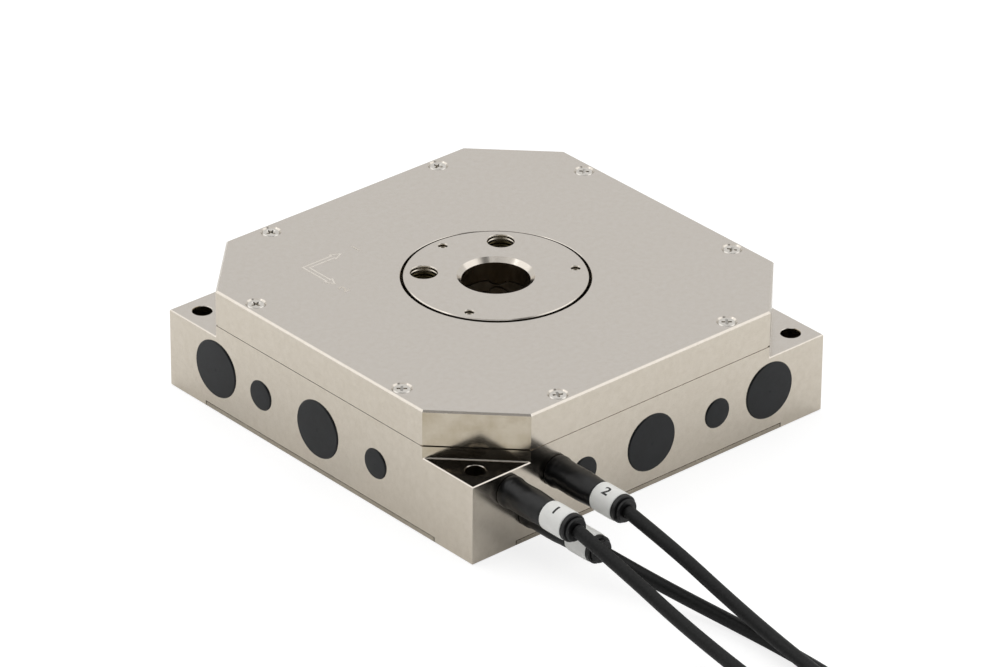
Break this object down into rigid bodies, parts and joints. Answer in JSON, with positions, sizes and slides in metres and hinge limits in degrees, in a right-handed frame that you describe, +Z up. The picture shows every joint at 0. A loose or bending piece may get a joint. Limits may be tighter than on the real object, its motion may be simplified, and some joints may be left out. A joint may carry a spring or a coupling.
{
  "type": "piezo nanopositioning stage",
  "caption": "Flat square stage whose round platform, with a central aperture, moves by micrometres in X, Y and Z on flexures driven by piezo stacks; cables leave one side.",
  "frame": {"origin": "centre of the bottom face, on the surface that the stage stands on", "axes": "+Z up, square to the platform; the cables leave on the -Y side; X and Y are the axes of travel"},
  "size_m": [0.1046, 0.3578, 0.0302],
  "materials": {
    "nickel": "satin nickel-plated aluminium, faintly mottled",
    "base_aluminium": "machined aluminium, satin",
    "stainless": "stainless steel, bright",
    "plug_plastic": "matt black plastic",
    "mechanism_aluminium": "wire-cut and milled aluminium, matt",
    "spring_steel": "ground spring steel",
    "piezo_ceramic": "brown ceramic with an epoxy coat",
    "hardened_steel": "hardened steel, ground",
    "circuit_board": "green epoxy board",
    "boot_rubber": "black moulded boot, satin",
    "marker_white": "white sleeve, satin",
    "collar_plastic": "black plastic, satin",
    "cable_jacket": "dark grey matt jacket",
    "tie_plastic": "black nylon, satin",
    "connector_chrome": "satin chrome-plated brass"
  },
  "bodies": {
    "stage_body": {"body_block": "nickel", "top_cover": "nickel", "base_plate": "base_aluminium", "cover_screws": "stainless", "base_screws": "stainless", "large_side_plugs": "plug_plastic", "small_side_plugs": "plug_plastic", "x_lever_pivot": "spring_steel", "y_lever_pivot": "spring_steel", "x_guide_leaves": "spring_steel", "y_guide_leaves": "spring_steel", "x_piezo_stack": "piezo_ceramic", "y_piezo_stack": "piezo_ceramic", "x_stack_caps": "hardened_steel", "y_stack_caps": "hardened_steel", "x_sensor_probe": "hardened_steel", "y_sensor_probe": "hardened_steel", "terminal_board": "circuit_board", "cable_boots": "boot_rubber", "cable_markers": "marker_white", "cable_collars": "collar_plastic", "x_cable": "cable_jacket", "y_cable": "cable_jacket", "z_cable": "cable_jacket", "x_cable_coil": "cable_jacket", "y_cable_coil": "cable_jacket", "z_cable_coil": "cable_jacket", "coil_ties": "tie_plastic", "x_connector": "connector_chrome", "y_connector": "connector_chrome", "z_connector": "connector_chrome"},
    "z_platform": {"z_core": "mechanism_aluminium", "z_stack_tips": "hardened_steel", "platform_ring": "nickel", "platform_screws": "stainless"},
    "platform_xy": {"xy_platform": "mechanism_aluminium", "z_piezo_stacks": "piezo_ceramic", "z_sensor_probe": "hardened_steel", "x_sensor_target": "mechanism_aluminium", "y_sensor_target": "mechanism_aluminium", "z_diaphragm": "spring_steel", "diaphragm_clamp_ring": "mechanism_aluminium", "clamp_ring_screws": "stainless"},
    "x_drive": {"x_drive_stage": "mechanism_aluminium", "x_drive_link": "spring_steel", "x_coupling_leaves": "spring_steel"},
    "y_drive": {"y_drive_stage": "mechanism_aluminium", "y_drive_link": "spring_steel", "y_coupling_leaves": "spring_steel"},
    "x_lever_body": {"x_lever": "mechanism_aluminium", "x_link_screw": "stainless", "x_preload_screw": "stainless"},
    "y_lever_body": {"y_lever": "mechanism_aluminium", "y_link_screw": "stainless", "y_preload_screw": "stainless"}
  },
  "joints": [
    {"name": "x_travel", "type": "slide", "parent": "stage_body", "child": "x_drive", "axis": [1, 0, 0], "range_m": [-0.00005, 0.00005], "stiffness_N_per_m": 10000, "deforming": ["x_guide_leaves", "y_coupling_leaves", "x_piezo_stack"]},
    {"name": "y_travel", "type": "slide", "parent": "x_drive", "child": "platform_xy", "axis": [0, 1, 0], "range_m": [-0.00005, 0.00005], "stiffness_N_per_m": 10000, "deforming": ["x_coupling_leaves"]},
    {"name": "z_travel", "type": "slide", "parent": "platform_xy", "child": "z_platform", "axis": [0, 0, 1], "range_m": [-0.0000075, 0.0000075], "stiffness_N_per_m": 4000, "springref_m": 0.00007, "deforming": ["z_piezo_stacks", "z_diaphragm"]},
    {"name": "y_drive_travel", "type": "slide", "parent": "stage_body", "child": "y_drive", "axis": [0, 1, 0], "range_m": [-0.00006, 0.00006], "deforming": ["y_guide_leaves", "y_piezo_stack"]},
    {"name": "x_lever_turn", "type": "hinge", "parent": "stage_body", "child": "x_lever_body", "pos_m": [-0.0431, 0.026, 0.01135], "axis": [0, 0, 1], "range_deg": [-0.13, 0.13], "deforming": ["x_lever_pivot", "x_drive_link"]},
    {"name": "y_lever_turn", "type": "hinge", "parent": "stage_body", "child": "y_lever_body", "pos_m": [0.026, -0.0431, 0.01135], "axis": [0, 0, 1], "range_deg": [-0.13, 0.13], "deforming": ["y_lever_pivot", "y_drive_link"]}
  ],
  "couplings": [
    {"joint": "y_drive_travel", "follows": "y_travel", "ratio": 1},
    {"joint": "x_lever_turn", "follows": "x_travel", "rad_per_m": 38.462},
    {"joint": "y_lever_turn", "follows": "y_travel", "rad_per_m": -38.462}
  ]
}
